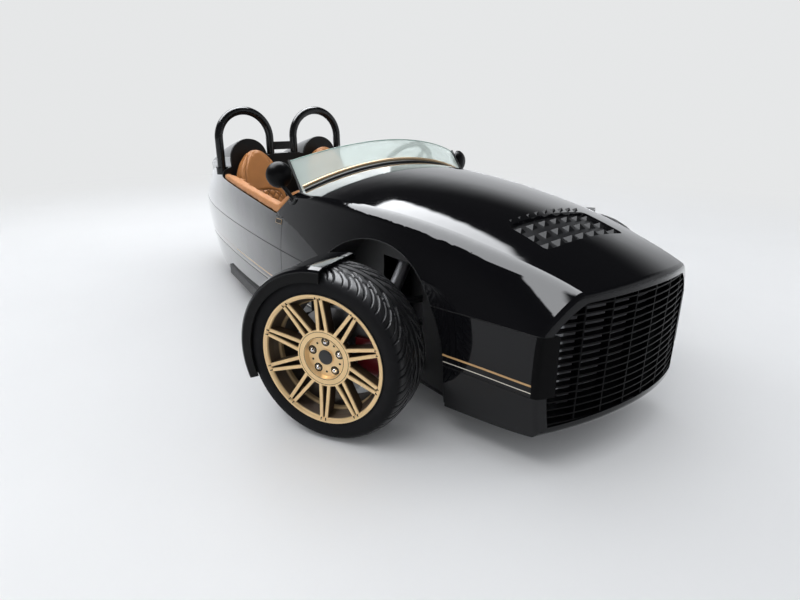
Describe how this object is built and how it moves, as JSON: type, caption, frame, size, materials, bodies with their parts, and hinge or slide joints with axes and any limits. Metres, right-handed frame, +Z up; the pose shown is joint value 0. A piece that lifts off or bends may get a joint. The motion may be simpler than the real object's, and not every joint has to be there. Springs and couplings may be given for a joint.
{
  "type": "open two-seat three-wheeled car",
  "caption": "Open two-seat three-wheeled car with steered front wheels under turning fenders, one rear wheel, roll hoops and a low windscreen.",
  "frame": {"origin": "on the ground, midway between nose and tail, on the centre plane", "axes": "+Z up, -Y towards the front of the car, +X towards its left side"},
  "size_m": [1.9877, 3.66, 1.1429],
  "materials": {
    "body_black": "gloss",
    "trim_black": "satin",
    "grille_black": "gloss",
    "lamp_clear": "clear",
    "glass_clear": "clear",
    "leather_tan": "satin",
    "carpet_black": "matt",
    "frame_black": "satin",
    "engine_grey": "matt",
    "gold": "satin",
    "tyre_rubber": "matt",
    "disc_steel": "brushed",
    "caliper_red": "gloss",
    "steel": "satin",
    "lamp_red": "clear"
  },
  "bodies": {
    "root": {"hood_panel": "body_black", "front_lower_panel": "body_black", "chin": "body_black", "rear_upper_panel": "body_black", "rear_lower_panel": "body_black", "hood_vent": "trim_black", "grille": "grille_black", "radiator": "engine_grey", "headlamps": "lamp_clear", "windscreen": "glass_clear", "windscreen_posts": "trim_black", "mirrors": "trim_black", "cockpit_rails": "leather_tan", "floor_tub": "carpet_black", "firewall": "trim_black", "rear_bulkhead": "trim_black", "headrest_fairings": "body_black", "dashboard": "trim_black", "steering_column": "trim_black", "seat_cushions": "leather_tan", "seat_backs": "leather_tan", "roll_hoops": "frame_black", "chassis_frame": "frame_black", "engine_block": "engine_grey", "arch_liners": "trim_black", "swingarm": "frame_black", "rear_shock": "steel", "caliper_rear": "caliper_red", "rear_guard": "trim_black", "wishbones": "frame_black", "coilovers": "steel", "drive_shafts": "steel", "side_blades": "trim_black", "tail_lamps": "lamp_red"},
    "knuckle_left": {"knuckle_left": "steel", "caliper_left": "caliper_red", "fender_left": "body_black"},
    "wheel_front_left": {"rim_front_left": "gold", "tyre_front_left": "tyre_rubber", "brake_disc_front_left": "disc_steel"},
    "knuckle_right": {"knuckle_right": "steel", "caliper_right": "caliper_red", "fender_right": "body_black"},
    "wheel_front_right": {"rim_front_right": "gold", "tyre_front_right": "tyre_rubber", "brake_disc_front_right": "disc_steel"},
    "wheel_rear": {"rim_rear": "gold", "tyre_rear": "tyre_rubber", "brake_disc_rear": "disc_steel"},
    "steering_wheel": {"steering_wheel": "trim_black"}
  },
  "joints": [
    {"name": "steer_left", "type": "hinge", "parent": "root", "child": "knuckle_left", "pos_m": [0.7, -1.086, 0.3185], "axis": [0, 0, 1], "range_deg": [-61, 3]},
    {"name": "spin_front_left", "type": "hinge", "parent": "knuckle_left", "child": "wheel_front_left", "pos_m": [0.74365, -1.06161, 0.3185], "axis": [0.8729, 0.4879, 0], "continuous": true},
    {"name": "steer_right", "type": "hinge", "parent": "root", "child": "knuckle_right", "pos_m": [-0.7, -1.086, 0.3185], "axis": [0, 0, 1], "range_deg": [-61, 3]},
    {"name": "spin_front_right", "type": "hinge", "parent": "knuckle_right", "child": "wheel_front_right", "pos_m": [-0.74365, -1.11039, 0.3185], "axis": [0.8729, 0.4879, 0], "continuous": true},
    {"name": "spin_rear", "type": "hinge", "parent": "root", "child": "wheel_rear", "pos_m": [0, 1.454, 0.3285], "axis": [1, 0, 0], "continuous": true},
    {"name": "steering_wheel_turn", "type": "hinge", "parent": "root", "child": "steering_wheel", "pos_m": [0.255, -0.19, 0.8], "axis": [0, 0.9003, 0.4352], "range_deg": [-823.5, 40.5]}
  ],
  "couplings": [
    {"joint": "steer_right", "follows": "steer_left", "ratio": 1},
    {"joint": "steering_wheel_turn", "follows": "steer_left", "ratio": 13.5}
  ]
}
